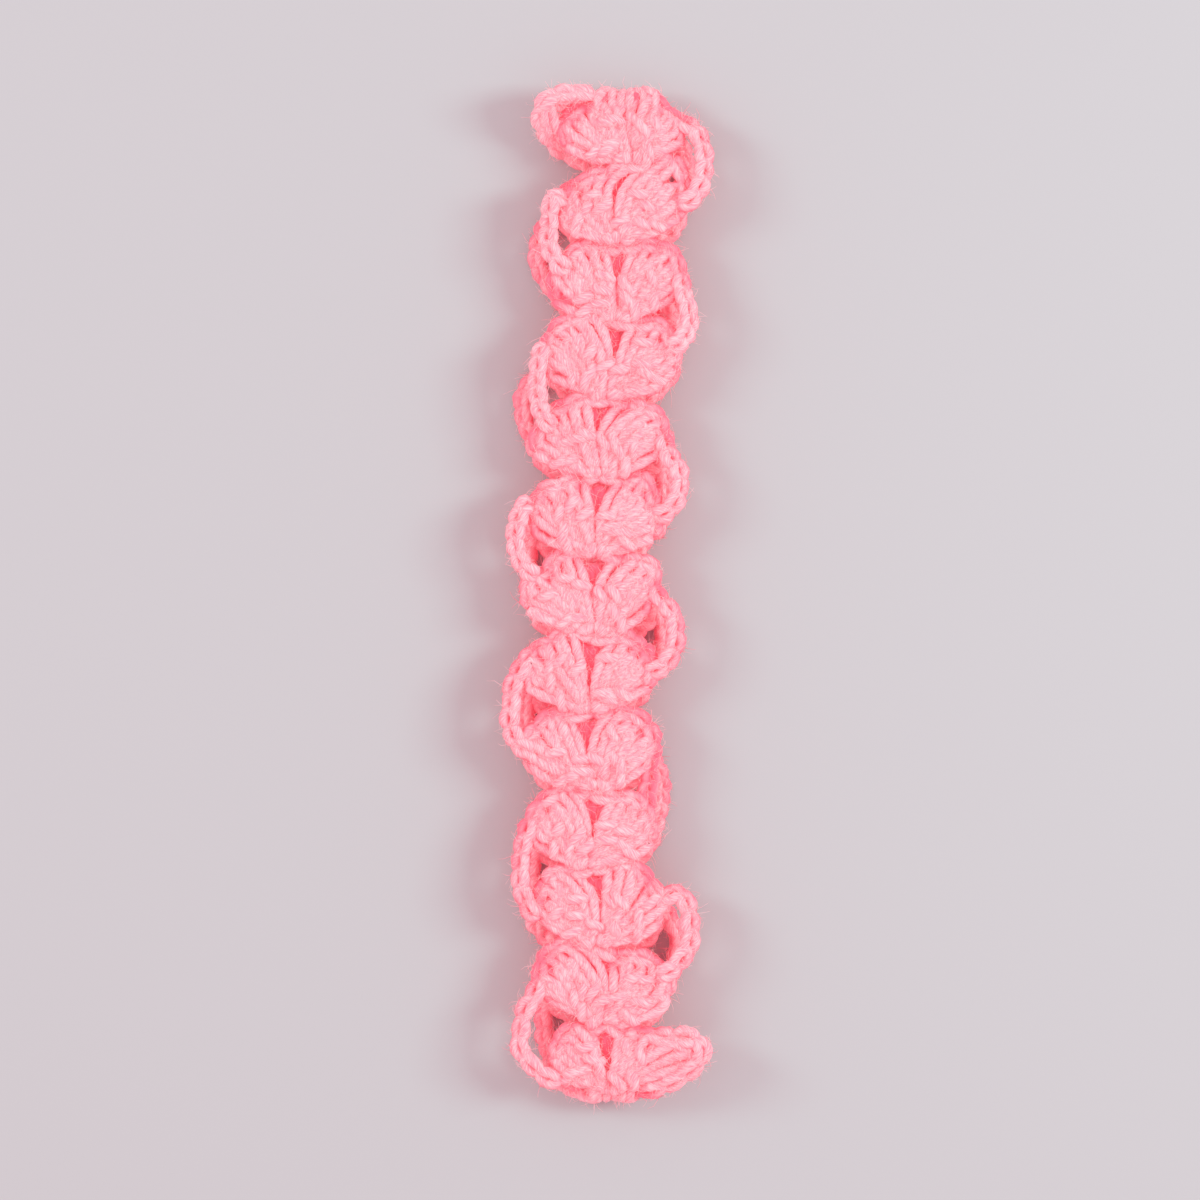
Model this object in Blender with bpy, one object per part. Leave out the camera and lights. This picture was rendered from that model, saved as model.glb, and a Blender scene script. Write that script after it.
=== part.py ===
"""Crocheted shell-stitch headband: a closed ring of rows, lying flat and doubled over on itself.

Every row is one fan of stitches (a plate) and one turning chain (an arc beside it).
Rows are numbered along the tape from the seam, which is in the middle of the lower layer.
"""

import math

import bpy
from mathutils import Vector

# Ring layout, metres
ROWS = 26
PITCH = 0.0195
THICKNESS = 0.005
LAYER_GAP = 0.005
LAST_LOWER_ROW = 7
FIRST_UPPER_ROW = 8
LAST_UPPER_ROW = 20
FIRST_LOWER_ROW = 21

# Sideways drift of the tape as it lies: one wave along each layer
UPPER_DRIFT = 0.00005
UPPER_SWING = 0.00465
UPPER_LOW_ROW = 13.0
UPPER_WAVE_ROWS = 15.0
LOWER_DRIFT = 0.0006
LOWER_SWING = 0.0039
LOWER_HIGH_ROW = 20.5
LOWER_WAVE_ROWS = 16.0

# Fan of stitches
POSTS = 8
FAN_SPREAD = math.radians(100.0)
FAN_CENTRE = 0.0036
FAN_HALF_WIDTH = 0.0146
FAN_TOP_CLEARANCE = 0.0003
FAN_SQUARENESS = 3.0
FAN_SCALLOP = 0.0006
NOTCH_DEPTH = 0.0024
NOTCH_WIDTH = math.radians(13.0)
HUB_DROP = 0.0022
GROOVE_DEPTH = 0.0013
RING_REACH = (0.17, 0.5, 0.86, 1.0)
RING_HEIGHT = (0.86, 1.0, 1.0, 0.62)
RING_GROOVE = (0.3, 1.0, 1.0, 0.35)

# Turning chain: an arc of chain stitches beside the fan, (sideways, along) in metres
CHAIN_RADIUS = 0.0021
CHAIN_SIDES = 6
CHAIN_BEAD = 0.09
CHAIN_RINGS = 11
CHAIN_PATH = (
    (0.0166, -0.0050),
    (0.0187, -0.0026),
    (0.0199, 0.0010),
    (0.0201, 0.0050),
    (0.0193, 0.0088),
    (0.0176, 0.0118),
    (0.0154, 0.0138),
)
FOLD_CHAIN_PATH = (
    (0.0178, 0.0030),
    (0.0196, 0.0050),
    (0.0209, 0.0080),
    (0.0206, 0.0108),
    (0.0186, 0.0130),
    (0.0160, 0.0146),
)

# Slip-stitch seam that closes the ring, on the inner side of the first row
SEAM_HALF_LENGTH = 0.0115
SEAM_ALONG = 0.0022
SEAM_RADIUS = 0.0008
SEAM_STANDOFF = 0.0003
SEAM_STITCHES = 9
SEAM_BEAD = 0.16


def clear_scene():
    """Remove every object of the start-up scene."""
    for found in list(bpy.data.objects):
        bpy.data.objects.remove(found)


def is_upper(row):
    """Whether the row lies in the upper layer."""
    return FIRST_UPPER_ROW <= row <= LAST_UPPER_ROW


def is_fold_row(row):
    """Whether the row starts at one of the two folds."""
    return row in (FIRST_UPPER_ROW, FIRST_LOWER_ROW)


def end_slope():
    """Slope of the four rows that meet at the folds."""
    return math.asin(LAYER_GAP / 2 / PITCH)


def row_heading(row):
    """Direction of the row in the YZ plane, from its base towards its top edge."""
    slope = end_slope()
    if row == LAST_LOWER_ROW:
        return Vector((0.0, -math.cos(slope), math.sin(slope)))
    if row == FIRST_UPPER_ROW:
        return Vector((0.0, math.cos(slope), math.sin(slope)))
    if row == LAST_UPPER_ROW:
        return Vector((0.0, math.cos(slope), -math.sin(slope)))
    if row == FIRST_LOWER_ROW:
        return Vector((0.0, -math.cos(slope), -math.sin(slope)))
    return Vector((0.0, 1.0 if is_upper(row) else -1.0, 0.0))


def row_base(row):
    """Middle of the row's base line, on the inner face of the tape."""
    point = Vector((0.0, PITCH / 2, THICKNESS))
    for earlier in range(1, row):
        point += row_heading(earlier) * PITCH
    return point


def row_drift(row):
    """Sideways offset of the row, so the tape lies in a gentle wave."""
    if is_upper(row):
        turn = math.tau * (row - UPPER_LOW_ROW) / UPPER_WAVE_ROWS
        return UPPER_DRIFT - UPPER_SWING * math.cos(turn)
    steps = (row - LOWER_HIGH_ROW) % ROWS
    turn = math.tau * steps / LOWER_WAVE_ROWS
    return LOWER_DRIFT + LOWER_SWING * math.cos(turn)


def row_side(row):
    """Side of the row's turning chain: they alternate along the tape."""
    return 1.0 if row % 2 == 0 else -1.0


def place(row, sideways, along, outward):
    """World point of a place given in the row's own frame."""
    heading = row_heading(row)
    normal = Vector((0.0, -heading.z, heading.y))
    point = row_base(row) + heading * along + normal * outward
    point.x += row_drift(row) + sideways
    return point


def make_solid(name, points, faces):
    """Create one mesh object from points and outward-facing polygons."""
    mesh = bpy.data.meshes.new(name)
    mesh.from_pydata([tuple(point) for point in points], [], faces)
    mesh.validate()
    mesh.update()
    solid = bpy.data.objects.new(name, mesh)
    bpy.context.scene.collection.objects.link(solid)
    return solid


def fan_reach(turn, on_crest):
    """Outline radius of the fan at an angle from its middle line."""
    height = PITCH - FAN_TOP_CLEARANCE - FAN_CENTRE - FAN_SCALLOP
    across = abs(math.sin(turn)) / FAN_HALF_WIDTH
    up = abs(math.cos(turn)) / height
    reach = (across**FAN_SQUARENESS + up**FAN_SQUARENESS) ** (-1.0 / FAN_SQUARENESS)
    reach -= NOTCH_DEPTH * math.exp(-((turn / NOTCH_WIDTH) ** 2))
    return reach + (FAN_SCALLOP if on_crest else 0.0)


def fan_height(ring, on_crest):
    """Thickness of the fan at one ring, on a post or in the groove between two."""
    height = THICKNESS * RING_HEIGHT[ring]
    return height if on_crest else height - GROOVE_DEPTH * RING_GROOVE[ring]


def make_fan(row):
    """One row's fan of stitches: a plate with a flat face and a ridged face."""
    columns = 2 * POSTS + 1
    rings = len(RING_REACH)
    points = []
    ridged = []
    flat = []

    def outward(height):
        return height if is_upper(row) else THICKNESS - height

    def add(across, along, height):
        points.append(place(row, across, along, outward(height)))
        return len(points) - 1

    for column in range(columns):
        turn = -FAN_SPREAD + 2 * FAN_SPREAD * column / (columns - 1)
        on_crest = column % 2 == 1
        spots = []
        for reach in RING_REACH:
            radius = fan_reach(turn, on_crest) * reach
            spots.append((radius * math.sin(turn), FAN_CENTRE + radius * math.cos(turn)))
        ridged.append([add(*spot, fan_height(i, on_crest)) for i, spot in enumerate(spots)])
        flat.append([add(*spots[0], 0.0), add(*spots[-1], 0.0)])
    hub_along = FAN_CENTRE - HUB_DROP
    hub_ridged = add(0.0, hub_along, THICKNESS * RING_HEIGHT[0])
    hub_flat = add(0.0, hub_along, 0.0)

    faces = []
    for column in range(columns - 1):
        here, there = ridged[column], ridged[column + 1]
        faces.append((hub_ridged, there[0], here[0]))
        for ring in range(rings - 1):
            faces.append((here[ring], there[ring], there[ring + 1], here[ring + 1]))
        under, beyond = flat[column], flat[column + 1]
        faces.append((hub_flat, under[0], beyond[0]))
        faces.append((under[0], under[1], beyond[1], beyond[0]))
        faces.append((here[-1], there[-1], beyond[1], under[1]))
    first, last = ridged[0], ridged[-1]
    faces.append((flat[0][0], *first, flat[0][1]))
    faces.append((flat[-1][1], *reversed(last), flat[-1][0]))
    faces.append((hub_ridged, first[0], flat[0][0], hub_flat))
    faces.append((hub_ridged, hub_flat, flat[-1][0], last[0]))
    if not is_upper(row):
        faces = [tuple(reversed(face)) for face in faces]
    return make_solid(f"shell_row_{row:02d}", points, faces)


def smooth_path(corners, count):
    """Evenly spaced points on a Catmull-Rom curve through the corners."""
    padded = [corners[0] * 2 - corners[1], *corners, corners[-1] * 2 - corners[-2]]
    path = []
    for index in range(count):
        position = index / (count - 1) * (len(corners) - 1)
        span = min(int(position), len(corners) - 2)
        t = position - span
        a, b, c, d = padded[span : span + 4]
        path.append(
            0.5 * (2 * b + (c - a) * t + (2 * a - 5 * b + 4 * c - d) * t**2 + (3 * b - a - 3 * c + d) * t**3)
        )
    return path


def tube_faces(rings, sides):
    """Outward-facing polygons of a closed tube whose rings were added in order."""
    faces = []
    for ring in range(rings - 1):
        for side in range(sides):
            here = ring * sides + side
            beside = ring * sides + (side + 1) % sides
            faces.append((here, beside, beside + sides, here + sides))
    faces.append(tuple(reversed(range(sides))))
    faces.append(tuple(range((rings - 1) * sides, rings * sides)))
    return faces


def make_tube(name, row, path, radii):
    """A closed tube in the row's frame; the path holds (sideways, along, outward)."""
    points = []
    for index, centre in enumerate(path):
        ahead = path[min(index + 1, len(path) - 1)]
        behind = path[max(index - 1, 0)]
        forward = (ahead - behind).normalized()
        beside = forward.cross(Vector((0.0, 0.0, 1.0))).normalized()
        above = forward.cross(beside)
        for side in range(CHAIN_SIDES):
            turn = math.tau * (side + 0.5) / CHAIN_SIDES
            offset = beside * math.cos(turn) + above * math.sin(turn)
            spot = centre + offset * radii[index]
            points.append(place(row, *spot))
    return make_solid(name, points, tube_faces(len(path), CHAIN_SIDES))


def make_turning_chain(row):
    """The arc of chain stitches that starts the row, on alternating sides."""
    side = row_side(row)
    before = ROWS if row == 1 else row - 1
    lead = max(0.0, side * (row_drift(before) - row_drift(row)))
    dip = math.tan(end_slope()) if row in (LAST_LOWER_ROW, LAST_UPPER_ROW) else 0.0
    corners = []
    for sideways, along in FOLD_CHAIN_PATH if is_fold_row(row) else CHAIN_PATH:
        behind = min(along, 0.0)
        clear = lead if along < 0 else 0.0
        corners.append(Vector((side * (sideways + clear), along, THICKNESS / 2 + dip * behind)))
    path = smooth_path(corners, CHAIN_RINGS)
    radii = [CHAIN_RADIUS * (1.0 - CHAIN_BEAD * (index % 2)) for index in range(len(path))]
    return make_tube(f"turning_chain_{row:02d}", row, path, radii)


def make_joining_seam():
    """The line of slip stitches that closes the ring, on the inner side of row 1."""
    depth = -SEAM_STANDOFF - SEAM_RADIUS
    count = 2 * SEAM_STITCHES + 1
    path = []
    radii = []
    for index in range(count):
        sideways = SEAM_HALF_LENGTH * (1.0 - 2.0 * index / (count - 1))
        path.append(Vector((sideways, SEAM_ALONG, depth)))
        radii.append(SEAM_RADIUS * (1.0 - SEAM_BEAD * ((index + 1) % 2)))
    return make_tube("joining_seam", 1, path, radii)


def main():
    clear_scene()
    for row in range(1, ROWS + 1):
        make_fan(row)
        make_turning_chain(row)
    make_joining_seam()


main()
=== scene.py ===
"""Looks of the crocheted shell-stitch headband, worked loop by loop from one fluffy plied yarn."""

import math

import bpy
import numpy as np
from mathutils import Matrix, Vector

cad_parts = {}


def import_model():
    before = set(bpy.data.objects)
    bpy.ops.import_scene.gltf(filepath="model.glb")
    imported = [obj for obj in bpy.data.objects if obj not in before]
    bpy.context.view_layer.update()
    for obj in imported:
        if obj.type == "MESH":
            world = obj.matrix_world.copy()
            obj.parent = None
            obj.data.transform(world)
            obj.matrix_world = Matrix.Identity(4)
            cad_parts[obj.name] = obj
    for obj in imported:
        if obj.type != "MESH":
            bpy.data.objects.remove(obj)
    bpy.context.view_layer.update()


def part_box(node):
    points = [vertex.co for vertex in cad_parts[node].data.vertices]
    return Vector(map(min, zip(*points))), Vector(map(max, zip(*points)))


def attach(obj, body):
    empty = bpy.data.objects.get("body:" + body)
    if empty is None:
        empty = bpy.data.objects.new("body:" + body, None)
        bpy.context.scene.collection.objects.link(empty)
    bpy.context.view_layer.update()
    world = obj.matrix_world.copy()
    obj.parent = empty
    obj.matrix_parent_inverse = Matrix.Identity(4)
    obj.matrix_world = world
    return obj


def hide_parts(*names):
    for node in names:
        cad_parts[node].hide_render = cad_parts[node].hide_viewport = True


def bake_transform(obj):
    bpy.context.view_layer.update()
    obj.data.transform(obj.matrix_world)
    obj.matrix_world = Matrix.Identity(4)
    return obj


MM = 0.001
SEED = 26

# Ring layout, shared with the CAD part, metres
ROWS = 26
PITCH = 0.0195
THICKNESS = 0.005
LAYER_GAP = 0.005
UPPER_ROWS = range(8, 21)
FOLD_ROWS = (8, 21)
ROWS_BEFORE_FOLD = (7, 20)
OPEN_PIVOT_ROW = 14
UPPER_DRIFT = 0.00005
UPPER_SWING = 0.00465
UPPER_LOW_ROW = 13.0
UPPER_WAVE_ROWS = 15.0
LOWER_DRIFT = 0.0006
LOWER_SWING = 0.0039
LOWER_HIGH_ROW = 20.5
LOWER_WAVE_ROWS = 16.0

# Yarn, millimetres. Its thickness swells and ripples by a share, at a rate per millimetre
YARN_RADIUS = 1.32
YARN_SIDES = 10
YARN_STEP = 0.8
SPLINE_DENSITY = 1.6
LOBES = 3
LOBE_DEPTH = 0.1
LOBE_PITCH = 8.0
ROUGHNESS_MM = 0.09
SWELL = 0.07
SWELL_RATE = 0.55
SWELL_PHASES = 6
RIPPLE = 0.04
RIPPLE_RATE = 1.7
END_THICKNESS = 0.45
END_LENGTH = 1.5

# Fuzz: sizes in millimetres, turn in radians, the rest as shares of a fibre's length or width
FUZZ_PER_MM = 3.8
FUZZ_RADIUS = 0.065
FUZZ_TAPER = (1.1, 0.6)
FUZZ_WIDTHS = (0.6, 1.2)
FUZZ_LENGTH = (1.2, 3.4)
FUZZ_POINTS = 3
FUZZ_SIDES = 3
FUZZ_TURN = (0.35, 0.6)
FUZZ_RISE = 0.22
FUZZ_CURL = 0.2
FUZZ_PALENESS = (0.2, 1.0)
# Middle of a fibre: how far along it lies, how much higher it stands, and its share of the curl
FIBRE_MIDDLE = (0.5, 0.06, 0.4)
FIBRE_TIP = 0.9

# Posts, millimetres, from the middle of a fan outwards.
# A post is (base x, base y, bend x, bend y, top x, top y, height of its crown)
MID = 2.5
POSTS = (
    (1.2, 2.6, 2.4, 11.5, 6.2, 18.8, 1.1),
    (2.0, 2.4, 4.8, 12.0, 10.0, 18.6, 1.2),
    (2.8, 2.0, 7.6, 9.6, 13.6, 16.0, 1.0),
    (3.2, 2.0, 8.8, 7.2, 15.4, 12.0, 0.8),
    (3.6, 1.4, 9.0, 3.4, 15.0, 7.8, 0.7),
)
FOLD_POSTS = (
    (1.3, 2.4, 2.3, 11.5, 5.5, 18.0, 1.3),
    (2.1, 2.6, 5.0, 12.5, 9.2, 18.2, 1.4),
    (3.0, 2.8, 8.0, 10.8, 12.8, 16.6, 1.2),
    (3.7, 2.8, 10.0, 8.2, 14.6, 13.6, 1.0),
    (4.0, 2.6, 10.8, 5.6, 15.2, 10.0, 0.6),
)
TUCKED_TOPS = ((15.0, 12.4), (13.6, 7.0))
UPPER_FLAP_TOPS = ((16.0, 14.4), (19.4, 12.4))
LOWER_FLAP_TOPS = ((16.0, 9.6), (18.2, 5.0))
HEADED_ON_CHAIN_SIDE = 4
HEADED_ON_FOLD_SIDE = 3
POST_POINTS = 9
BEND_ROOT = 0.5
BEND_SHIFT = 0.7
BEND_NOISE = 0.8
CROWN_SKEW = 0.75
CROWN_NOISE = 0.25
TOP_ACROSS = 0.96
TOP_ALONG = 0.95
TOP_RISE = 0.4

# The two strands of a post: they close up towards the root and twist round each other
STRAND_GAP = 1.4
ROOT_GAP = 0.36
GAP_GROWTH = 1.3
STRAND_LEAN = 0.6
STRAND_TWIST = (0.6, 1.4)
STRAND_DEPTH = 0.75
# Turn of the yarn round the row below: (reach, height) points, and how much the height varies
HOOK = ((0.55, -1.5), (1.0, -0.7), (1.0, 0.9), (0.5, 1.7))
HOOK_REACH = 1.6
HOOK_NOISE = 0.3
# Yarn-over round a post: how far it climbs, and between which of the post's points it can start
WRAP_RADIUS = 1.7
WRAP_RISE = (4.0, 6.5)
WRAP_STARTS = (2, 7)
WRAP_STEPS = 8
WRAP_LIFT = 0.15
WRAP_FLATNESS = 0.85

# Chain loops along the edge. A loop is (along, across, out of its face) points
HEAD_LOOP = (
    (0.25, 0.0, -0.4),
    (0.55, -0.42, 0.3),
    (0.95, -0.5, 0.55),
    (1.28, -0.3, 0.4),
    (1.42, 0.0, 0.15),
    (1.28, 0.3, 0.4),
    (0.95, 0.5, 0.55),
    (0.55, 0.42, 0.3),
    (0.3, 0.04, -0.5),
)
BUMP_PLACES = (0.65, 1.0)
BUMP_DEPTH = 1.0
BRAID_WIDTH = 2.1
ARC_BRAID_WIDTH = 2.8
BRAID_RANGE = (0.9, 1.1)
HEAD_FACE = (62, 88)
HEAD_SINK = 0.9
HEAD_NOISE = (0.6, 0.7, 0.3)
LAST_HEAD_GAP = 0.4
EDGE_STEP = 0.25
EDGE_REACH = 0.8
CHAIN_SPACE = 19.9
CHAIN_SPACE_SINK = 0.4
NOTCH = 16.6

# Each fan's halves differ in size at random, apart from these: (chain side, far side)
HALF_SIZE_RANGE = (0.93, 1.05)
HALF_SIZES = {7: (1.02, 0.76), 20: (0.96, 0.96)}

# Sideways lean of each upper row's valley against the middle of the row, which grows from LEAN_START
LEAN = {
    8: -2.6,
    9: -2.4,
    10: -2.6,
    11: 0.8,
    12: 0.5,
    13: 1.8,
    14: 2.1,
    15: 1.8,
    16: 2.0,
    17: 2.2,
    18: 0.8,
    19: 2.6,
    20: 0.6,
}
LEAN_START = 8
LEAN_LENGTH = 10
VALLEY_SWAY = 1.7

# Lining behind the posts, millimetres
LINING_SHARES = (0.15, 0.5, 0.85)
LINING_START = 8
LINING_TOP = 0.93
LINING_DEPTH = 0.6
LINING_CROWN = 1.5
LINING_NOISE = 0.2
LINING_RETURN = (1.2, -0.5)
FOOT_SHARE = 0.22
FOOT_LIMIT = 3.4
FOOT_ALONG = 1.6
VALLEY_HALF_WIDTH = 3.0
VALLEY_TOP = 1.3
VALLEY_DROP = 0.6
VALLEY_DEPTH = 1.6

# Turning chain of each row: how far out its middle lies, where it starts and ends along the row, its height
ARCS = {
    9: (21.4, -14.5, 8.0, 2.6),
    10: (22.6, -7.5, 15.0, 2.8),
    11: (18.0, -12.5, 9.5, 2.4),
    12: (15.0, -8.0, 6.0, 0.9),
    13: (19.0, -10.5, 10.8, 2.6),
    14: (22.0, -10.0, 9.0, 2.2),
    15: (18.9, -5.5, 14.0, 2.9),
    16: (19.9, -10.0, 6.5, 2.6),
    17: (17.4, -7.0, 14.5, 3.2),
    18: (18.4, -6.5, 7.5, 3.0),
    19: (17.8, -7.0, 13.0, 3.4),
    20: (20.0, -10.5, 10.0, 2.6),
    23: (19.2, -8.0, 10.0, 2.4),
    25: (20.4, -8.0, 10.0, 2.4),
    2: (18.0, -8.0, 9.0, 2.4),
    6: (18.4, -8.0, 9.0, 2.4),
}
PLAIN_ARC = (16.6, -8.0, 8.0, 2.2)
UPPER_FOLD_ARC = (
    (4.0, 2.4, 1.2),
    (9.5, 3.2, 2.4),
    (15.0, 6.2, 4.4),
    (19.6, 10.4, 6.2),
    (21.6, 14.2, 6.6),
    (18.6, 17.0, 5.2),
)
LOWER_FOLD_ARC = (
    (6.0, 1.4, -0.6),
    (12.0, 0.8, -3.2),
    (18.2, 1.8, -6.4),
    (20.4, 4.6, -6.2),
    (18.8, 9.6, -3.0),
    (16.6, 14.0, 0.6),
)
ARC_STITCHES = 6
ARC_TURN = (-82, 58)
ARC_SPOTS = 7
ARC_ROUNDNESS = 0.8
ARC_NOISE = 0.2
ARC_ROOT = 14.4
ARC_LOW_ROOT = 11.0
FOLD_ARC_LOW_ROOT = 8.0
ARC_END_GAP = 2.0
ARC_FACE = 70
ARC_FACE_FALL = 15
# Two points along a turning chain, millimetres, whose places are worked out but not used
ARC_BEND = (-5.0, 3.0)

# Folds, millimetres: rows beside them are shifted, squeezed, rounded off and dipped, and a corner curls up
FOLD_SHIFT = 2.0
FOLD_SQUEEZE = 0.96
FOLD_ROUNDING = 0.2
ROUNDING_START = 8
ROUNDING_LENGTH = 8
EDGE_DIP = 1.6
EDGE_DIP_START = 12
EDGE_DIP_LENGTH = 7
ROOT_DIP = 1.0
ROOT_DIP_END = 5
ROOT_DIP_LENGTH = 4
UPPER_FLAP_RISE = 3.2
LOWER_FLAP_RISE = -6.5
FLAP_START = 6
FLAP_LENGTH = 12

# Strands round a fold: how many, how far apart, their line on each layer as (along, outward) points,
# and how far they bulge
LINKS = 6
LINK_SPACE = 1.9
LINK_SPREAD = 1.5
LINK_LINE = ((7.0, 1.6), (4.4, 2.3), (1.9, 1.7))
LINK_BULGE = 0.6
LINK_BULGE_LENGTH = 5
LINK_SINK = 0.6
LINK_NOISE = 0.4
LINK_REACH = 2.2

# Overcast stitches of the seam, millimetres
SEAM_TURNS = 9
SEAM_POINTS = 12
SEAM_REACH = 1.7
SEAM_HEIGHT = 1.5


def srgb(r, g, b):
    def linear(c):
        c /= 255
        return c / 12.92 if c <= 0.04045 else ((c + 0.055) / 1.055) ** 2.4

    return (linear(r), linear(g), linear(b), 1.0)


# Looks of the yarn. The streaks come from noise, stretched along a ply and STREAK_WIDTH round it
YARN_DEEP = srgb(255, 142, 160)
YARN_PALE = srgb(255, 199, 205)
FUZZ_COLOUR = srgb(255, 210, 214)
STREAK_SCALE = 1.9
STREAK_DETAIL = 4
STREAK_RAMP = (0.38, 0.62)
STREAK_STRETCH = 0.35
STREAK_WIDTH = 2.2
STREAK_PLACES = 60
YARN_BUMP = (0.7, 0.0002)
YARN_ROUGHNESS = 0.85
YARN_SPECULAR = 0.15
SHEEN_WEIGHT = 0.25
SHEEN_ROUGHNESS = 0.6
SHEEN_TINT = (1.0, 0.7, 0.76, 1.0)
# Painted shade: a deeper colour on yarn in the middle of a row's thickness, set back from its faces,
# millimetres
PAINTED_SHADE_COLOUR = srgb(255, 104, 128)
PAINTED_SHADE_HEIGHT = 2.1
PAINTED_SHADE_REACH = 1.9
# Painted light: the yarn glows faintly, standing in for the light that the fibres pass on into the hollows
# between them
PAINTED_GLOW_COLOUR = (1.0, 0.22, 0.3, 1.0)
PAINTED_GLOW_STRENGTH = 0.17

# Stage, metres and watts
FLOOR_SIZE = 6.0
FLOOR_COLOUR = srgb(203, 191, 195)
FLOOR_TOOTH = 600
FLOOR_BUMP = (0.05, 0.0001)
FLOOR_ROUGHNESS = 0.9
FLOOR_SPECULAR = 0.1
LAMP_SIZE = (0.3, 0.5)
LAMP_COLOUR = (0.55, 1.0, 0.92)
RIGHT_PLACE = (0.9, 0.15, 0.75)
RIGHT_LIGHT = 6.9
LEFT_PLACE = (-0.9, 0.3, 0.8)
LEFT_LIGHT = 4.3
DAYLIGHT_COLOUR = (1.0, 0.83, 0.88, 1.0)
DAYLIGHT = 0.87
CAMERA_PLACE = (-0.00125, -0.00125, 1.012)
CAMERA_LENS = 120
CAMERA_SENSOR = 36


def rows():
    return range(1, ROWS + 1)


def is_upper(row):
    return row in UPPER_ROWS


def row_before(row):
    """The row that this one grows from; the first row follows the last."""
    return (row - 2) % ROWS + 1


def row_side(row):
    """+1 or -1: the side of the row's turning chain."""
    return 1.0 if row % 2 == 0 else -1.0


def row_drift(row):
    """Sideways offset of the row in metres, as in the CAD part."""
    if is_upper(row):
        turn = math.tau * (row - UPPER_LOW_ROW) / UPPER_WAVE_ROWS
        return UPPER_DRIFT - UPPER_SWING * math.cos(turn)
    turn = math.tau * ((row - LOWER_HIGH_ROW) % ROWS) / LOWER_WAVE_ROWS
    return LOWER_DRIFT + LOWER_SWING * math.cos(turn)


def row_heading(row):
    """Unit direction (y, z) of the row at rest, from its base to its top edge."""
    slope = math.asin(LAYER_GAP / 2 / PITCH)
    tilt = {7: slope, 8: slope, 20: -slope, 21: -slope}.get(row, 0.0)
    along = 1.0 if is_upper(row) else -1.0
    return np.array([along * math.cos(tilt), math.sin(tilt)])


def row_base(row):
    """Middle of the row's base line (y, z) on the inner face, metres."""
    point = np.array([PITCH / 2, THICKNESS])
    for earlier in range(1, row):
        point = point + row_heading(earlier) * PITCH
    return point


def place(row, local):
    """World positions in metres of points (across, along, outward) in millimetres."""
    heading = row_heading(row)
    base = row_base(row)
    local = np.asarray(local) * MM
    world = np.empty_like(local)
    world[:, 0] = row_drift(row) + local[:, 0]
    world[:, 1] = base[0] + heading[0] * local[:, 1] - heading[1] * local[:, 2]
    world[:, 2] = base[1] + heading[1] * local[:, 1] + heading[0] * local[:, 2]
    return world


# ---------------------------------------------------------------- curves


def arc_lengths(path):
    """Length of the path up to each of its points."""
    return np.concatenate([[0], np.cumsum(np.linalg.norm(np.diff(path, axis=0), axis=1))])


def spline(points, step):
    """Points about one step apart on a centripetal Catmull-Rom curve."""
    points = np.asarray(points, float)
    padded = np.vstack([2 * points[0] - points[1], points, 2 * points[-1] - points[-2]])
    knots = np.concatenate([[0], np.cumsum(np.linalg.norm(np.diff(padded, axis=0), axis=1) ** 0.5)])
    pieces = []
    for i in range(1, len(padded) - 2):
        t0, t1, t2, t3 = knots[i - 1 : i + 3]
        a, b, c, d = padded[i - 1 : i + 3]
        count = max(2, int(math.ceil(np.linalg.norm(c - b) / step * SPLINE_DENSITY)))
        t = np.linspace(t1, t2, count, endpoint=False)[:, None]
        ab = a + (b - a) * (t - t0) / (t1 - t0)
        bc = b + (c - b) * (t - t1) / (t2 - t1)
        cd = c + (d - c) * (t - t2) / (t3 - t2)
        abc = ab + (bc - ab) * (t - t0) / (t2 - t0)
        bcd = bc + (cd - bc) * (t - t1) / (t3 - t1)
        pieces.append(abc + (bcd - abc) * (t - t1) / (t2 - t1))
    pieces.append(padded[-2][None])
    return resample(np.vstack(pieces), step)


def resample(points, step):
    """The same polyline with evenly spaced points."""
    lengths = arc_lengths(points)
    count = max(3, int(round(lengths[-1] / step)) + 1)
    at = np.linspace(0, lengths[-1], count)
    return np.column_stack([np.interp(at, lengths, column) for column in points.T])


def unit(vectors):
    return vectors / np.maximum(np.linalg.norm(vectors, axis=-1, keepdims=True), 1e-12)


def frames(path):
    """Tangents and a rotation-minimising pair of normals along a path."""
    tangents = unit(np.gradient(path, axis=0))
    first = np.cross(tangents[0], [0.0, 0.0, 1.0])
    if np.linalg.norm(first) < 0.1:
        first = np.cross(tangents[0], [0.0, 1.0, 0.0])
    normals = [unit(first)]
    for i in range(1, len(path)):
        previous = normals[-1]
        axis = np.cross(tangents[i - 1], tangents[i])
        sine = np.linalg.norm(axis)
        if sine > 1e-9:
            axis = axis / sine
            angle = math.atan2(sine, float(np.dot(tangents[i - 1], tangents[i])))
            previous = (
                previous * math.cos(angle)
                + np.cross(axis, previous) * math.sin(angle)
                + axis * np.dot(axis, previous) * (1 - math.cos(angle))
            )
        normals.append(unit(previous - tangents[i] * np.dot(previous, tangents[i])))
    normals = np.array(normals)
    return tangents, normals, np.cross(tangents, normals)


# ---------------------------------------------------------------- stitches


def bezier(start, bend, end, t):
    t = np.asarray(t)[:, None]
    return (1 - t) ** 2 * start + 2 * t * (1 - t) * bend + t**2 * end


def smooth(value):
    value = np.clip(value, 0.0, 1.0)
    return value * value * (3 - 2 * value)


def lean(row):
    """Sideways offset of the row's valley from its own middle, millimetres."""
    return LEAN.get(row, 0.0)


def base_shift(row):
    """Where the fan is rooted, in its own frame: in the valley of the row before, millimetres."""
    before = row_before(row)
    return (row_drift(before) - row_drift(row)) / MM + lean(before)


def posts(row):
    return FOLD_POSTS if row in FOLD_ROWS else POSTS


def chain_side_heads(row):
    """How many posts on the turning chain's side have a head on the edge."""
    return HEADED_ON_FOLD_SIDE if row in FOLD_ROWS else HEADED_ON_CHAIN_SIDE


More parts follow.
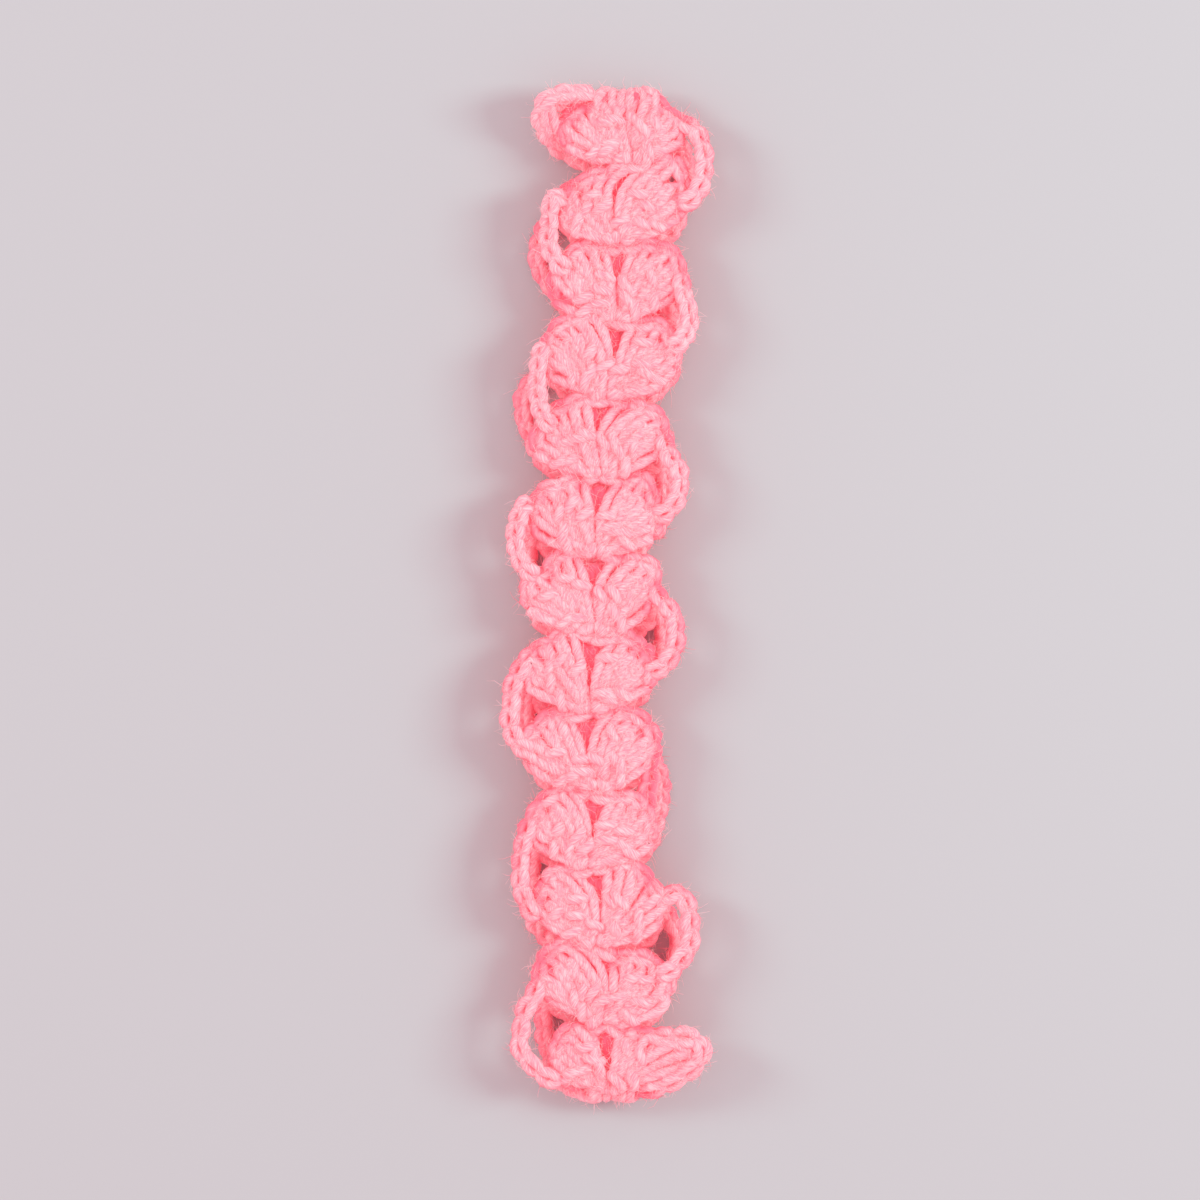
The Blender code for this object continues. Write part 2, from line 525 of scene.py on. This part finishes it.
def tucked_tops(row):
    """Where the chain-side posts without heads end, behind the turning chain."""
    if row not in FOLD_ROWS:
        return TUCKED_TOPS
    return UPPER_FLAP_TOPS if is_upper(row) else LOWER_FLAP_TOPS


def arc_points(row, rng):
    """Middle line of the turning chain, on the +x side."""
    if row in FOLD_ROWS:
        arc = np.array(UPPER_FOLD_ARC if is_upper(row) else LOWER_FOLD_ARC)
        return arc + rng.normal(0, ARC_NOISE, arc.shape)
    reach, low, high, height = ARCS.get(row, PLAIN_ARC)
    angles = np.radians(np.linspace(*ARC_TURN, ARC_SPOTS))
    low_root = FOLD_ARC_LOW_ROOT if row - 1 in FOLD_ROWS else ARC_LOW_ROOT
    root = np.where(angles < 0, low_root, ARC_ROOT)
    across = root + (reach - root) * np.cos(angles) ** ARC_ROUNDNESS
    along = (low + high) / 2 + (high - low) / 2 * np.sin(angles)
    arc = np.column_stack([across, along, np.full(len(angles), height)])
    return arc + rng.normal(0, ARC_NOISE, arc.shape)


def head_marks(row, rng):
    """Where the heads of the fan's top edge go, from the chain side over the valley to the far side."""
    valley = lean(row) * row_side(row)
    near = [np.array([post[4], post[5], MID - HEAD_SINK]) for post in posts(row)[: chain_side_heads(row)]]
    far = [np.array([-post[4], post[5], MID - HEAD_SINK]) for post in posts(row)]
    space = NOTCH if row in ROWS_BEFORE_FOLD else CHAIN_SPACE
    marks = near[::-1] + [np.array([0.0, space, MID - CHAIN_SPACE_SINK])] + far
    sizes = HALF_SIZES.get(row, rng.uniform(*HALF_SIZE_RANGE, 2))
    for mark in marks:
        mark[:2] *= sizes[0] if mark[0] > 0 else sizes[1]
        mark[0] += valley * smooth((mark[1] - LEAN_START) / LEAN_LENGTH)
        if row in ROWS_BEFORE_FOLD:
            mark[0] *= 1 - FOLD_ROUNDING * smooth((mark[1] - ROUNDING_START) / ROUNDING_LENGTH)
            mark[1] *= FOLD_SQUEEZE
    return [mark + rng.normal(0, HEAD_NOISE) for mark in marks]


def edge_curve(row, rng):
    """The row's edge, chain side at +x: turning chain, then the fan's top edge.
    Returns a dense polyline, its arc lengths, those where heads are centred, and the heads' places."""
    marks = head_marks(row, rng)
    dense = spline(np.vstack([arc_points(row, rng), marks]), EDGE_STEP)
    lengths = arc_lengths(dense)
    at = [lengths[np.argmin(np.linalg.norm(dense - mark, axis=1))] for mark in marks]
    return dense, lengths, np.array(at), marks


def edge_frame(dense, lengths, at):
    """Point, tangent and in-plane outward normal of the edge curve at an arc length."""

    def point_at(where):
        where = min(max(where, 0.0), lengths[-1])
        return np.array([np.interp(where, lengths, dense[:, i]) for i in range(3)])

    tangent = unit(point_at(at + EDGE_REACH) - point_at(at - EDGE_REACH))
    return point_at(at), tangent, unit(np.array([tangent[1], -tangent[0], 0.0]))


def edge_point(edge, at, sideways, outwards, face):
    """A point given by its arc length, and its offsets across and out of the braid's face."""
    point, tangent, normal = edge_frame(*edge, at)
    facing = normal * math.cos(face) + np.array([0.0, 0.0, math.sin(face)])
    across = unit(np.cross(tangent, facing))
    return point + across * sideways + facing * outwards


def head(edge, start, length, face, width):
    """Control points of one chain loop: up one leg, round, and back down the other."""
    return [edge_point(edge, start + u * length, s * width, f, face) for u, s, f in HEAD_LOOP]


def back_bump(edge, start, length, face):
    """Control points of the strand behind a chain stitch."""
    return [edge_point(edge, start + u * length, 0.0, -BUMP_DEPTH, face) for u in BUMP_PLACES]


def post(shape, side, top, root, sway, shift, rng):
    """Control points down one strand of a stitch's post, round the row below and up the other strand."""
    base_x, base_y, bend_x, bend_y, *_, crown = shape
    start = np.array([root + base_x * side, base_y + shift])
    bend = np.array([root * BEND_ROOT + sway + bend_x * side, bend_y + shift * BEND_SHIFT])
    bend = bend + rng.normal(0, BEND_NOISE, 2)
    t = np.linspace(1.0, 0.0, POST_POINTS)
    line = bezier(start, bend, top[:2], t)
    direction = -unit(np.gradient(line, axis=0))
    across = np.column_stack([direction[:, 1], -direction[:, 0]])
    height = MID + (top[2] - MID) * t**2 + crown * np.sin(np.pi * t**CROWN_SKEW)
    height = height + rng.normal(0, CROWN_NOISE)
    spread = STRAND_GAP * (ROOT_GAP + (1 - ROOT_GAP) * smooth(t * GAP_GROWTH))
    first = rng.uniform(-STRAND_LEAN, 0.0)
    twist = rng.uniform(*STRAND_TWIST)
    down, up = [], []
    for i, ti in enumerate(t):
        angle = first + twist * (1 - ti)
        for strand, sign in ((down, 1.0), (up, -1.0)):
            flat = line[i] + across[i] * math.cos(angle) * spread[i] * sign
            strand.append(np.array([*flat, height[i] + math.sin(angle) * STRAND_DEPTH * sign]))
    hook = post_hook(start, -direction[-1], rng)
    up = up[::-1]
    at = int(rng.integers(*WRAP_STARTS))
    spot = len(t) - 1 - at
    wound = wrap(line[spot], across[spot], -direction[spot], height[spot], up[at], rng)
    return down + hook + up[: at + 1] + wound + up[at + 1 :]


def post_hook(start, away, rng):
    """The turn of the yarn round the row below, at the root of a post."""
    stack = rng.uniform(-HOOK_NOISE, HOOK_NOISE)
    hook = []
    for reach, rise in HOOK:
        flat = start + away * reach * HOOK_REACH
        hook.append(np.array([*flat, MID + rise + stack]))
    return hook


def wrap(centre, across, onward, height, start, rng):
    """The yarn-over that winds once round a post, slanting along it."""
    rise = rng.uniform(*WRAP_RISE)
    first = math.atan2(start[2] - height, float(np.dot(start[:2] - centre, across)))
    spots = []
    for step in range(1, WRAP_STEPS):
        angle = first - math.tau * step / WRAP_STEPS
        flat = centre + across * math.cos(angle) * WRAP_RADIUS + onward * rise * step / WRAP_STEPS
        level = height + WRAP_LIFT + math.sin(angle) * WRAP_RADIUS * WRAP_FLATNESS
        spots.append(np.array([*flat, level]))
    return spots


def lining(marks, root, shift, rng):
    """Control points of the strands behind the posts: up and down between them, and under the valley."""
    spots = []
    for before, after in zip(marks[:-1], marks[1:]):
        top = (before[:2] + after[:2]) / 2 * LINING_TOP
        depth, crown = LINING_DEPTH, LINING_CROWN
        if min(abs(before[0]), abs(after[0])) < VALLEY_HALF_WIDTH:
            top = np.array([math.copysign(VALLEY_TOP, before[0] + after[0]), CHAIN_SPACE - VALLEY_DROP])
            depth, crown = VALLEY_DEPTH, 0.0
        side = np.sign(top[0])
        foot = np.array([root + side * min(abs(top[0]) * FOOT_SHARE, FOOT_LIMIT), FOOT_ALONG + shift])
        for share in LINING_SHARES:
            flat = foot + (top - foot) * share + rng.normal(0, LINING_NOISE, 2)
            spots.append(lining_point(flat, share, depth, crown))
        for share in LINING_SHARES[::-1]:
            aside = np.array([side * LINING_RETURN[0] * share, LINING_RETURN[1] * share])
            flat = foot + (top - foot) * share + aside
            spots.append(lining_point(flat, share, depth, crown))
    return spots


def lining_point(flat, share, depth, crown):
    return np.array([*flat, MID - depth + crown * math.sin(math.pi * share)])


def fold_rise(row, across):
    """How far the corner of a fan beside a fold curls off the fan's plane."""
    rise = UPPER_FLAP_RISE if is_upper(row) else LOWER_FLAP_RISE
    return rise * smooth((across - FLAP_START) / FLAP_LENGTH)


def chain_points(edge, arc_length, rng):
    """Control points of the turning chain."""
    points = []
    stitch = arc_length / ARC_STITCHES
    for index in range(ARC_STITCHES):
        start = index * stitch
        face = math.radians(ARC_FACE - ARC_FACE_FALL * index / ARC_STITCHES)
        points += head(edge, start, stitch, face, ARC_BRAID_WIDTH * rng.uniform(*BRAID_RANGE))
        points += back_bump(edge, start, stitch, face)
    return points


def tucked_posts(row, root, sway, shift, rng):
    """Control points of the chain-side posts without heads."""
    points = []
    for index in range(chain_side_heads(row), len(POSTS)):
        flat = tucked_tops(row)[index - HEADED_ON_FOLD_SIDE]
        rise = fold_rise(row, flat[0]) if row in FOLD_ROWS else 0.0
        top = np.array([*flat, MID + rise])
        points += post(posts(row)[index], 1.0, top, root, sway, shift, rng)
    return points


def row_path(row):
    """Yarn control points of one row in its own frame, and where its turning chain ends."""
    rng = np.random.default_rng(SEED * 100 + row)
    dense, lengths, at, marks = edge_curve(row, rng)
    edge = (dense, lengths)
    shift = FOLD_SHIFT if row in FOLD_ROWS else 0.0
    root = base_shift(row) * row_side(row)
    sway = rng.normal(0, VALLEY_SWAY)
    arc_length = at[0] - ARC_END_GAP
    points = chain_points(edge, arc_length, rng)
    chain_end = len(points)
    starts = np.concatenate([[arc_length], (at[:-1] + at[1:]) / 2, [lengths[-1] - LAST_HEAD_GAP]])
    middle = chain_side_heads(row)
    for index, mark in enumerate(marks):
        start = starts[index]
        length = starts[index + 1] - start
        face = math.radians(rng.uniform(*HEAD_FACE))
        points += head(edge, start, length, face, BRAID_WIDTH * rng.uniform(*BRAID_RANGE))
        if index == middle:
            points += back_bump(edge, start, length, face)
            continue
        side = 1.0 if index < middle else -1.0
        shape = posts(row)[abs(index - middle) - 1]
        top = np.array([mark[0] * TOP_ACROSS, shift + (mark[1] - shift) * TOP_ALONG, mark[2] + TOP_RISE])
        points += post(shape, side, top, root, sway, shift, rng)
        if index == 0:
            points += tucked_posts(row, root, sway, shift, rng)
    inner = [mark for mark in marks if mark[1] > LINING_START]
    points += lining(inner, root, shift, rng)
    points = np.array(points)
    points[:, 0] *= row_side(row)
    if row in ROWS_BEFORE_FOLD:
        points[:, 2] -= EDGE_DIP * smooth((points[:, 1] - EDGE_DIP_START) / EDGE_DIP_LENGTH)
    if row in FOLD_ROWS:
        points[:, 2] -= ROOT_DIP * smooth((ROOT_DIP_END - points[:, 1]) / ROOT_DIP_LENGTH)
    return points, chain_end


# ---------------------------------------------------------------- meshes


def yarn(path, rng):
    """One length of plied yarn along a path: a closed tube with a lobe for each ply.
    Returns its part of a mesh, the surface's places and directions for the fuzz, and its length."""
    tangents, normals, binormals = frames(path)
    lengths = arc_lengths(path)
    around = np.arange(YARN_SIDES) * math.tau / YARN_SIDES
    turned = around[None, :] - (math.tau * lengths / LOBE_PITCH)[:, None] + rng.uniform(0, math.tau)
    groove = 1 - np.abs(np.cos(turned * LOBES / 2))
    swell = SWELL * np.sin(lengths * SWELL_RATE + rng.uniform(0, SWELL_PHASES))
    thick = 1 + swell + RIPPLE * np.sin(lengths * RIPPLE_RATE)
    from_end = np.minimum(lengths, lengths[-1] - lengths)
    ends = END_THICKNESS + (1 - END_THICKNESS) * smooth(from_end / END_LENGTH)
    radius = YARN_RADIUS * (1 - LOBE_DEPTH * groove) * (thick * ends)[:, None]
    radius = radius + rng.normal(0, ROUGHNESS_MM, radius.shape)
    aside = normals[:, None] * np.cos(around)[None, :, None]
    out = aside + binormals[:, None] * np.sin(around)[None, :, None]
    vertices = (path[:, None] + out * radius[..., None]).reshape(-1, 3)
    index = np.arange(len(path) * YARN_SIDES).reshape(len(path), YARN_SIDES)
    faces = [tube_quads(index), index[:1, ::-1], index[-1:]]
    along = np.broadcast_to(lengths[:, None] * STREAK_STRETCH, turned.shape)
    strand = np.stack([along, np.cos(turned) * STREAK_WIDTH, np.sin(turned) * STREAK_WIDTH], axis=-1)
    part = (vertices, faces, strand.reshape(-1, 3), np.zeros(len(vertices)))
    surface = (vertices, out.reshape(-1, 3), np.repeat(tangents, YARN_SIDES, axis=0))
    return part, surface, lengths[-1]


def tube_quads(index):
    """Side faces of a tube from its rings of vertex numbers, rings along the second last axis."""
    lower, upper = index[..., :-1, :], index[..., 1:, :]
    quads = np.stack([lower, np.roll(lower, -1, -1), np.roll(upper, -1, -1), upper], axis=-1)
    return quads.reshape(-1, 4)


def fibre_paths(surface, count, rng):
    """Middle lines of fibres that lie along the yarn and stand a little off it."""
    places, outwards, tangents = surface
    picked = rng.integers(0, len(places), count)
    foot, out, along = places[picked], outwards[picked], tangents[picked]
    beside = np.cross(out, along)
    turn = rng.normal(*FUZZ_TURN, (count, 1))
    flip = rng.choice([-1.0, 1.0], (count, 1))
    reach = rng.uniform(*FUZZ_LENGTH, (count, 1))
    rise = rng.exponential(FUZZ_RISE, (count, 1))
    lie = (along * np.cos(turn) + beside * np.sin(turn)) * flip
    curl = rng.normal(0, FUZZ_CURL, (count, 3))
    lying, lift, curling = FIBRE_MIDDLE
    middle = foot + reach * (lie * lying + out * (rise + lift) + curl * curling)
    tip = foot + reach * (lie * FIBRE_TIP + out * rise * FIBRE_TIP + curl)
    t = np.linspace(0, 1, FUZZ_POINTS)[None, :, None]
    return (1 - t) ** 2 * foot[:, None] + 2 * t * (1 - t) * middle[:, None] + t**2 * tip[:, None]


def fuzz(surface, count, rng):
    """Fine fibres on the yarn's surface, as closed tubes: one part of a mesh."""
    paths = fibre_paths(surface, count, rng)
    heading = unit(np.gradient(paths, axis=1))
    first = unit(np.cross(heading, unit(rng.normal(0, 1, (count, 1, 3)))))
    second = np.cross(heading, first)
    thick, taper = FUZZ_TAPER
    profile = thick - taper * np.linspace(0, 1, FUZZ_POINTS)[None, :]
    width = FUZZ_RADIUS * profile * rng.uniform(*FUZZ_WIDTHS, (count, 1))
    rings = []
    for side in range(FUZZ_SIDES):
        angle = math.tau * side / FUZZ_SIDES
        rings.append(paths + (first * math.cos(angle) + second * math.sin(angle)) * width[..., None])
    vertices = np.stack(rings, axis=2).reshape(-1, 3)
    index = np.arange(len(vertices)).reshape(count, FUZZ_POINTS, FUZZ_SIDES)
    each = FUZZ_SIDES * FUZZ_POINTS
    strand = np.repeat(rng.uniform(0, STREAK_PLACES, (count, 3)), each, axis=0)
    faces = [tube_quads(index), index[:, 0, ::-1], index[:, -1]]
    return vertices, faces, strand, np.repeat(rng.uniform(*FUZZ_PALENESS, count), each)


def joined(parts, column):
    return np.concatenate([part[column] for part in parts]).astype(np.float32).ravel()


def build_mesh(name, parts, material):
    """One object from its parts, in metres. A part is
    (vertices, arrays of faces, strand coordinates, fuzz marks, painted shade share)."""
    loops, totals = [], []
    offset = 0
    for vertices, faces, *_ in parts:
        for array in faces:
            loops.append((array + offset).ravel())
            totals.append(np.full(len(array), array.shape[1]))
        offset += len(vertices)
    loops = np.concatenate(loops)
    totals = np.concatenate(totals)
    starts = np.concatenate([[0], np.cumsum(totals)[:-1]])
    mesh = bpy.data.meshes.new(name)
    mesh.vertices.add(offset)
    mesh.vertices.foreach_set("co", joined(parts, 0))
    mesh.loops.add(len(loops))
    mesh.loops.foreach_set("vertex_index", loops.astype(np.int32))
    mesh.polygons.add(len(totals))
    mesh.polygons.foreach_set("loop_start", starts.astype(np.int32))
    mesh.polygons.foreach_set("loop_total", totals.astype(np.int32))
    mesh.update(calc_edges=True)
    strand = mesh.attributes.new("strand", "FLOAT_VECTOR", "POINT")
    strand.data.foreach_set("vector", joined(parts, 2))
    # The second mark is painted shade: where the yarn is painted a deeper pink
    for label, column in (("fuzz", 3), ("painted_shade", 4)):
        marked = mesh.attributes.new(label, "FLOAT", "POINT")
        marked.data.foreach_set("value", joined(parts, column))
    mesh.polygons.foreach_set("use_smooth", np.ones(len(mesh.polygons), bool))
    mesh.materials.append(material)
    made = bpy.data.objects.new(name, mesh)
    bpy.context.scene.collection.objects.link(made)
    return made


# ---------------------------------------------------------------- looks


def new_material(name):
    """A material with its nodes, its links and its shader."""
    material = bpy.data.materials.new(name)
    material.use_nodes = True
    nodes = material.node_tree.nodes
    return material, nodes, material.node_tree.links, nodes["Principled BSDF"]


def add_noise(nodes, scale):
    noise = nodes.new("ShaderNodeTexNoise")
    noise.inputs["Scale"].default_value = scale
    return noise


def add_bump(nodes, links, noise, size, shader):
    """Relief on the shader from a noise, with (strength, distance) as its size."""
    bump = nodes.new("ShaderNodeBump")
    bump.inputs["Strength"].default_value = size[0]
    bump.inputs["Distance"].default_value = size[1]
    links.new(noise.outputs["Fac"], bump.inputs["Height"])
    links.new(bump.outputs["Normal"], shader.inputs["Normal"])


def tinted(nodes, links, colour, attribute, tint):
    """The colour, turned towards a tint where the mesh's attribute says so."""
    marked = nodes.new("ShaderNodeAttribute")
    marked.attribute_name = attribute
    mix = nodes.new("ShaderNodeMix")
    mix.data_type = "RGBA"
    links.new(marked.outputs["Fac"], mix.inputs["Factor"])
    links.new(colour, mix.inputs["A"])
    mix.inputs["B"].default_value = tint
    return mix.outputs["Result"]


def yarn_material():
    """Fluffy acrylic: pale fibres streaking along each ply over a deeper pink, with a soft sheen, painted
    shade in the middle of each row and a faint painted glow.
    """
    material, nodes, links, shader = new_material("pink_yarn")
    strand = nodes.new("ShaderNodeAttribute")
    strand.attribute_name = "strand"
    streaks = add_noise(nodes, STREAK_SCALE)
    streaks.inputs["Detail"].default_value = STREAK_DETAIL
    links.new(strand.outputs["Vector"], streaks.inputs["Vector"])
    ramp = nodes.new("ShaderNodeValToRGB")
    for stop, position, colour in zip(ramp.color_ramp.elements, STREAK_RAMP, (YARN_DEEP, YARN_PALE)):
        stop.position = position
        stop.color = colour
    links.new(streaks.outputs["Fac"], ramp.inputs["Fac"])
    # Painted shade: a deeper pink towards the middle of each row's thickness
    shaded = tinted(nodes, links, ramp.outputs["Color"], "painted_shade", PAINTED_SHADE_COLOUR)
    mixed = tinted(nodes, links, shaded, "fuzz", FUZZ_COLOUR)
    links.new(mixed, shader.inputs["Base Color"])
    add_bump(nodes, links, streaks, YARN_BUMP, shader)
    shader.inputs["Roughness"].default_value = YARN_ROUGHNESS
    shader.inputs["Specular IOR Level"].default_value = YARN_SPECULAR
    shader.inputs["Sheen Weight"].default_value = SHEEN_WEIGHT
    shader.inputs["Sheen Roughness"].default_value = SHEEN_ROUGHNESS
    shader.inputs["Sheen Tint"].default_value = SHEEN_TINT
    # Painted light: a faint coral glow that lightens the yarn's shade
    shader.inputs["Emission Color"].default_value = PAINTED_GLOW_COLOUR
    shader.inputs["Emission Strength"].default_value = PAINTED_GLOW_STRENGTH
    return material


def floor_material():
    """Matt paper, with a trace of tooth."""
    material, nodes, links, shader = new_material("floor")
    add_bump(nodes, links, add_noise(nodes, FLOOR_TOOTH), FLOOR_BUMP, shader)
    shader.inputs["Base Color"].default_value = FLOOR_COLOUR
    shader.inputs["Roughness"].default_value = FLOOR_ROUGHNESS
    shader.inputs["Specular IOR Level"].default_value = FLOOR_SPECULAR
    return material


# ---------------------------------------------------------------- pieces


def painted_shade_share(vertices):
    """Painted shade: from 0 on a row's faces to 1 in its middle, set back between the strands, where the
    yarn is painted a deeper colour.
    """
    return smooth(1 - np.abs(vertices[:, 2] - PAINTED_SHADE_HEIGHT) / PAINTED_SHADE_REACH)


def make_piece(name, path, rng, material, to_world):
    """Yarn with its fuzz along a path in millimetres, put in place by to_world."""
    part, surface, length = yarn(path, rng)
    fibres = fuzz(surface, int(length * FUZZ_PER_MM), rng)
    placed = []
    for vertices, *rest in (part, fibres):
        world = to_world(vertices)
        world[:, 2] = np.maximum(world[:, 2], 0.0)
        placed.append((world, *rest, painted_shade_share(vertices)))
    made = build_mesh(name, placed, material)
    return made


def make_row(row, material):
    """One row's fan and turning chain, in place; the fan rides on its row's body, and the turning chain
    does too only beside a fold and at the pivot row.
    """

    def to_world(vertices):
        return place(row, vertices)

    rng = np.random.default_rng(SEED * 1000 + row)
    points, chain_end = row_path(row)
    path = spline(points, YARN_STEP)
    cut = len(spline(points[: chain_end + 1], YARN_STEP))
    fan = make_piece(f"fan_{row:02d}", path[cut - 1 :], rng, material, to_world)
    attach(fan, f"row_{row:02d}")
    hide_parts(f"shell_row_{row:02d}")
    arc = make_piece(f"arc_{row:02d}", path[:cut], rng, material, to_world)
    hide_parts(f"turning_chain_{row:02d}")
    if row in FOLD_ROWS or row == OPEN_PIVOT_ROW:
        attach(arc, f"row_{row:02d}")
        return
    ends = place(row, [(0.0, ARC_BEND[0], MID), (0.0, ARC_BEND[1], MID)])
    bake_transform(arc)


def make_fold_link(row, material):
    """The strands that carry a row beside a fold round it from the row before."""
    before = row_before(row)
    rng = np.random.default_rng(SEED * 10 + row)
    centre = row_drift(before) / MM + lean(before)
    points = []
    for index in range(LINKS):
        offset = (index - (LINKS - 1) / 2) * LINK_SPACE
        x, spread_x = centre + offset * np.array([1.0, LINK_SPREAD]) + rng.normal(0, LINK_NOISE, 2)
        bulge = LINK_BULGE * smooth(abs(offset) / LINK_BULGE_LENGTH) - LINK_SINK
        line = [(x - row_drift(row) / MM, y, z) for y, z in LINK_LINE]
        line.append((x - row_drift(row) / MM, -bulge, 0.0))
        under = [(spread_x - row_drift(before) / MM, PITCH / MM - y, z) for y, z in LINK_LINE]
        strand = np.vstack([place(row, line), place(before, under[::-1])])
        points += list(strand if index % 2 == 0 else strand[::-1])
    path = spline(np.array(points) / MM, YARN_STEP)
    link = make_piece(f"fold_link_{row:02d}", path, rng, material, lambda vertices: vertices * MM)
    start = place(before, [(0.0, PITCH / MM, LINK_REACH)])[0]
    end = place(row, [(0.0, 0.0, LINK_REACH)])[0]
    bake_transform(link)


def make_seam(material):
    """Overcast stitches that join the last row to the first."""
    rng = np.random.default_rng(SEED)
    low, high = (np.array(corner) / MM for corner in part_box("joining_seam"))
    middle = (low + high) / 2
    half = (high - low) / 2
    angle = np.linspace(0, math.tau * SEAM_TURNS, SEAM_TURNS * SEAM_POINTS)
    share = np.linspace(-1, 1, len(angle))
    across = middle[0] + share * (half[0] - YARN_RADIUS)
    along = middle[1] + np.cos(angle) * SEAM_REACH
    height = middle[2] + np.sin(angle) * SEAM_HEIGHT
    path = spline(np.column_stack([across, along, height]), YARN_STEP)
    seam = make_piece("seam_stitches", path, rng, material, lambda vertices: vertices * MM)
    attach(seam, "row_01")
    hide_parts("joining_seam")


def make_band(material):
    for row in rows():
        make_row(row, material)
    for row in FOLD_ROWS:
        make_fold_link(row, material)
    make_seam(material)


# ---------------------------------------------------------------- stage


def make_floor():
    bpy.ops.mesh.primitive_plane_add(size=FLOOR_SIZE, location=(0, 0, 0))
    floor = bpy.context.object
    floor.name = "floor"
    floor.data.materials.append(floor_material())


def add_area(name, location, energy):
    """A soft lamp that faces the middle of the scene."""
    data = bpy.data.lights.new(name, "AREA")
    data.shape = "RECTANGLE"
    data.size, data.size_y = LAMP_SIZE
    data.energy = energy
    data.color = LAMP_COLOUR
    lamp = bpy.data.objects.new(name, data)
    lamp.location = location
    lamp.rotation_euler = (-Vector(location)).to_track_quat("-Z", "Y").to_euler()
    bpy.context.scene.collection.objects.link(lamp)


def light():
    """Even daylight with a soft lamp on each side, the right one the stronger."""
    add_area("right_light", RIGHT_PLACE, RIGHT_LIGHT)
    add_area("left_light", LEFT_PLACE, LEFT_LIGHT)
    world = bpy.data.worlds.new("world")
    world.use_nodes = True
    background = world.node_tree.nodes["Background"]
    background.inputs["Color"].default_value = DAYLIGHT_COLOUR
    background.inputs["Strength"].default_value = DAYLIGHT
    bpy.context.scene.world = world
    bpy.context.scene.view_settings.view_transform = "Standard"


def make_camera():
    data = bpy.data.cameras.new("camera")
    data.lens = CAMERA_LENS
    data.sensor_width = CAMERA_SENSOR
    camera = bpy.data.objects.new("camera", data)
    camera.location = CAMERA_PLACE
    bpy.context.scene.collection.objects.link(camera)
    bpy.context.scene.camera = camera


def main():
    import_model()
    material = yarn_material()
    make_band(material)
    make_floor()
    light()
    make_camera()


main()
